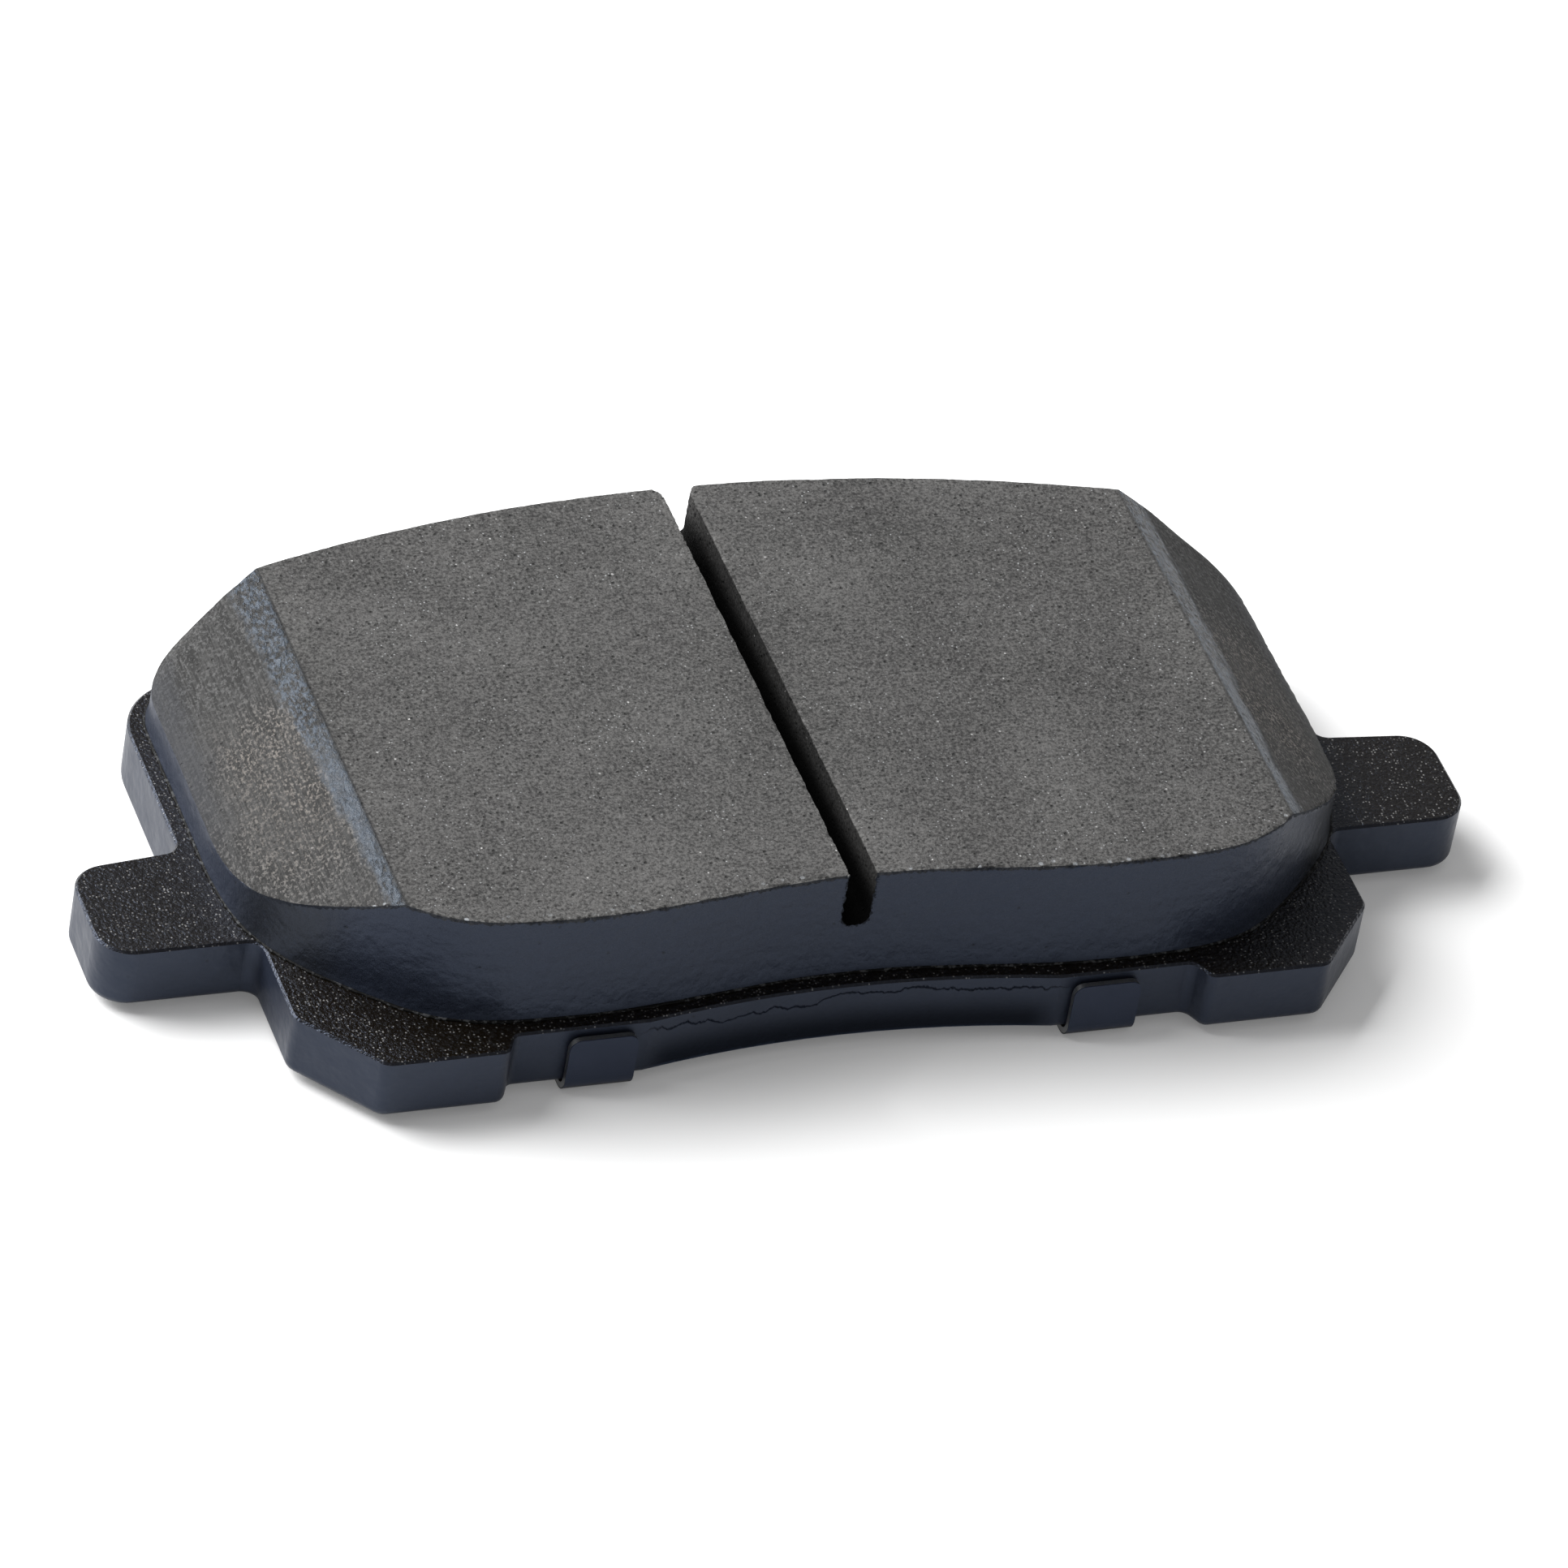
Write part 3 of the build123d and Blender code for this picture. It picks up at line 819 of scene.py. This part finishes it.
class Wear:
    """Points of the block as they get worn, with how deep and how near the outline each one lies."""

    def __init__(self, points, foot, face_z):
        self.points = points
        self.worn = points.copy()
        self.face_z = face_z
        self.distance, self.outward = foot.nearest(points)
        self.depth = block_height(points[:, 0], face_z) - points[:, 2]
        self.near_wall = fade(self.distance, RIM_WIDTH)
        self.at_top = fade(self.depth, RIM_DEPTH)
        self.on_face = self.depth < TOUCH
        self.exposed = np.clip(EVEN_WEAR - ARCH_WEAR * self.outward[:, 1], LEAST_WEAR, 1)
        crumb = ripple(points, 0.4, seed=3) + 0.9 * ripple(points, 2.2, seed=4)
        self.crumb = np.clip(crumb, 0, CRUMB_LIMIT)

    def crumble_rim(self):
        """Uneven walls, a crumbled rim and rounded ends."""
        x, y, _ = self.points.T
        chip = RIM_CHIP * self.crumb * self.near_wall ** 2 * self.at_top * self.exposed
        beyond = np.clip((np.abs(x) - ROUNDED_FROM_X) / ROUNDED_RAMP_X, 0, 1)
        beyond *= np.clip((y - ROUNDED_FROM_Y) / ROUNDED_RAMP_Y, 0, 1)
        rounding = fade(self.distance, ROUNDING_WIDTH) ** 2 * fade(self.depth, ROUNDING_WIDTH)
        shift = wall_shift(self.points, heights("bond_layer")[1]) * self.near_wall - CHIP_INWARD * chip
        self.worn[:, :2] += self.outward * shift[:, None]
        self.worn[:, 2] -= CHIP_DOWNWARD * chip + ROUNDING * rounding * beyond

    def wear_slot(self):
        """Chipped edges, frayed sides, a rounded floor and a mouth that opens on the crown side."""
        points = self.points
        side = np.sign(points[:, 0])
        from_slot = np.abs(points[:, 0]) - SLOT_HALF_WIDTH
        in_slot = (from_slot < TOUCH) & (self.depth < SLOT_DEPTH + TOUCH)
        slot_side = in_slot & (np.abs(from_slot) < TOUCH)
        slot_floor = in_slot & (np.abs(self.depth - SLOT_DEPTH) < TOUCH)
        slot_rim = fade(np.maximum(from_slot, 0), RIM_WIDTH) * self.on_face * (from_slot > -TOUCH)
        self.worn[:, 2] -= CHIP_DOWNWARD * SLOT_CHIP * self.crumb * slot_rim ** 2
        fray = 0.07 * ripple(points, 0.35, seed=5) + 0.03 * ripple(points, 1.8, seed=6)
        fray += 0.3 * SLOT_CHIP * self.crumb * self.at_top
        fray += MOUTH_FRAY * ripple(points, 0.45, seed=13) * self.near_wall
        self.worn[:, 0] += side * fray * slot_side
        narrowing = fade(SLOT_DEPTH - self.depth, SLOT_ROUNDING) ** 2 * in_slot
        self.worn[:, 0] *= 1 - SLOT_NARROWING * narrowing
        self.worn[:, 2] += SLOT_FLOOR_WAVE * ripple(points, 0.7, seed=9) * slot_floor
        at_mouth = fade(self.distance, MOUTH_REACH) ** 2 * (points[:, 1] > 0)
        above_floor = np.clip((SLOT_DEPTH - self.depth) / MOUTH_FADE, 0, 1)
        beside_slot = fade(np.maximum(from_slot, 0), MOUTH_WIDTH) * above_floor
        self.worn[:, 0] += side * MOUTH_ROUNDING * at_mouth * beside_slot

    def roughen_face(self):
        """Grain of the ground face, with no point above the face of the CAD block."""
        grain = ripple(self.points, 0.5, seed=7) * 0.6 + ripple(self.points, 1.6, seed=8) * 0.4
        self.worn[:, 2] -= FACE_GRAIN * (0.5 + grain).clip(0) * self.on_face
        self.worn[:, 2] = np.minimum(self.worn[:, 2], self.face_z)

    def rim_closeness(self):
        """How close each point is to the crumbling part of the rim, from 0 to 1."""
        return fade(self.distance, RIM_BAND) * self.exposed


def underlayer(base, foot, materials):
    """Painted lower part of the block's wall, with the plugs that key it into the plate."""
    low_z, high_z = heights("underlayer")
    foot_z = heights("bond_layer")[1]
    stack = Stack()
    loops = []
    for z in np.linspace(high_z, foot_z, UNDERLAYER_LEVELS):
        ring = np.column_stack([base, np.full(len(base), z)])
        _, outward = foot.nearest(ring)
        shifted = base + outward * wall_shift(ring, foot_z)[:, None]
        loops.append(stack.loop(shifted, z))
    for upper, lower in zip(loops, loops[1:]):
        stack.wall(lower, upper)
    wall_faces = len(stack.faces)
    holes = []
    for x in (-PLUG_X, PLUG_X):
        rim = circle(x, PLUG_Y, PLUG_RADIUS)
        collar = stack.loop(rim, foot_z)
        tip = stack.loop(rim, low_z)
        stack.wall(tip, collar)
        stack.cap(tip)
        holes.append(collar)
    stack.cap(loops[0])
    stack.cap(loops[-1], *holes)
    painted, bare = range(2)
    face_materials = [painted] * wall_faces + [bare] * (len(stack.faces) - wall_faces)
    piece = make_piece("underlayer_compound", stack.points, stack.faces, materials, face_materials)
    stand_for(piece, "underlayer")


def bond_bead(base, foot, material):
    """Bond layer with an uneven bead squeezed out all round the block."""
    low_z, high_z = heights("bond_layer")
    ring = np.column_stack([base, np.full(len(base), high_z)])
    _, outward = foot.nearest(ring)
    spread = BEAD_WIDTH + BEAD_WAVE * ripple(ring, 1.5, seed=11) + BEAD_GRAIN * ripple(ring, 0.4, seed=12)
    stack = Stack()
    loops = []
    for share, rise in BEAD_PROFILE:
        z = low_z + (high_z - low_z) * rise
        loops.append(stack.loop(base + outward * (spread * share)[:, None], z))
    for lower, upper in zip(loops, loops[1:]):
        stack.wall(lower, upper)
    bottom_holes = []
    top_holes = []
    for x in (-PLUG_X, PLUG_X):
        rim = circle(x, PLUG_Y, PLUG_RADIUS)
        lower = stack.loop(rim, low_z)
        upper = stack.loop(rim, high_z)
        stack.wall(lower, upper)
        bottom_holes.append(lower)
        top_holes.append(upper)
    stack.cap(loops[0], *bottom_holes)
    stack.cap(loops[-1], *top_holes)
    piece = make_piece("bond_bead", stack.points, stack.faces, [material])
    stand_for(piece, "bond_layer")


def coat(node, material):
    """Give a CAD node that keeps its shape a procedural material."""
    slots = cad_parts[node].data.materials
    for i in range(len(slots)):
        slots[i] = material


# ---------------------------------------------------------------------------------------------
# Floor, light and camera
# ---------------------------------------------------------------------------------------------


def floor_material():
    """Matt white studio table, glowing faintly: painted light that lightens the shadows on it."""
    recipe = Recipe("floor")
    cloud = recipe.noise(60.0, 3)
    colour = recipe.mix(cloud, grey(0.84), grey(0.87))
    glow = {"Emission_Color": grey(1.0), "Emission_Strength": 0.13}
    return recipe.finish(Base_Color=colour, Roughness=0.9, Specular_IOR_Level=0.2, **glow)


def add_floor(size):
    """Plain pale floor under the pad."""
    mesh = bpy.data.meshes.new("floor")
    corners = [(x * size, y * size, 0) for x, y in ((-1, -1), (1, -1), (1, 1), (-1, 1))]
    mesh.from_pydata(corners, [], [(0, 1, 2, 3)])
    mesh.materials.append(floor_material())
    floor = bpy.data.objects.new("floor", mesh)
    bpy.context.scene.collection.objects.link(floor)


def add_softbox(name, place, aim, size, power):
    """Rectangular area light turned towards a point."""
    light = bpy.data.lights.new(name, "AREA")
    light.shape = "RECTANGLE"
    light.size, light.size_y = size
    light.energy = power
    lamp = bpy.data.objects.new(name, light)
    lamp.location = place
    lamp.rotation_euler = (Vector(aim) - Vector(place)).to_track_quat("-Z", "Y").to_euler()
    bpy.context.scene.collection.objects.link(lamp)


def add_world(level):
    """Even white surroundings."""
    world = bpy.data.worlds.new("studio")
    world.use_nodes = True
    world.node_tree.nodes["Background"].inputs["Color"].default_value = (1, 1, 1, 1)
    world.node_tree.nodes["Background"].inputs["Strength"].default_value = level
    bpy.context.scene.world = world


def add_camera(place, aim, roll, lens):
    """Camera at a place, turned towards a point and rolled about its own axis."""
    camera = bpy.data.cameras.new("camera")
    camera.lens = lens
    camera.clip_start = 0.01
    camera.clip_end = 20
    holder = bpy.data.objects.new("camera", camera)
    turn = (Vector(aim) - Vector(place)).to_track_quat("-Z", "Y").to_matrix().to_4x4()
    holder.matrix_world = Matrix.Translation(place) @ turn @ Matrix.Rotation(roll, 4, "Z")
    bpy.context.scene.collection.objects.link(holder)
    bpy.context.scene.camera = holder


friction_face_z = heights("friction_block")[1]
wall_paint = wall_material(friction_face_z)
compound = underlayer_material()
block_foot = Foot("underlayer", heights("underlayer")[1])

block_materials = [friction_material(), wall_paint, compound, slot_material(friction_face_z)]
base_loop = friction_block(block_foot, block_materials)
underlayer(base_loop, block_foot, [wall_paint, compound])
bond_bead(base_loop, block_foot, bond_material())
coat("backing_plate", plate_material(heights("backing_plate")[1]))
rubber = rubber_material()
coat("shim_outer_coat", rubber)
coat("shim_inner_coat", rubber)
coat("shim_steel", steel_material())
coat("shim_adhesive", adhesive_material())

add_floor(size=1.5)
add_world(level=0.3)
add_softbox("key", place=(-0.58, 0.5, 0.66), aim=(0, 0, 0), size=(0.9, 0.9), power=26)
view_point = (0.002, -0.001, 0.008)
add_camera(place=(-0.3077, -0.6644, 0.5958), aim=view_point, roll=math.radians(10.6), lens=250)
bpy.context.scene.view_settings.view_transform = "Standard"
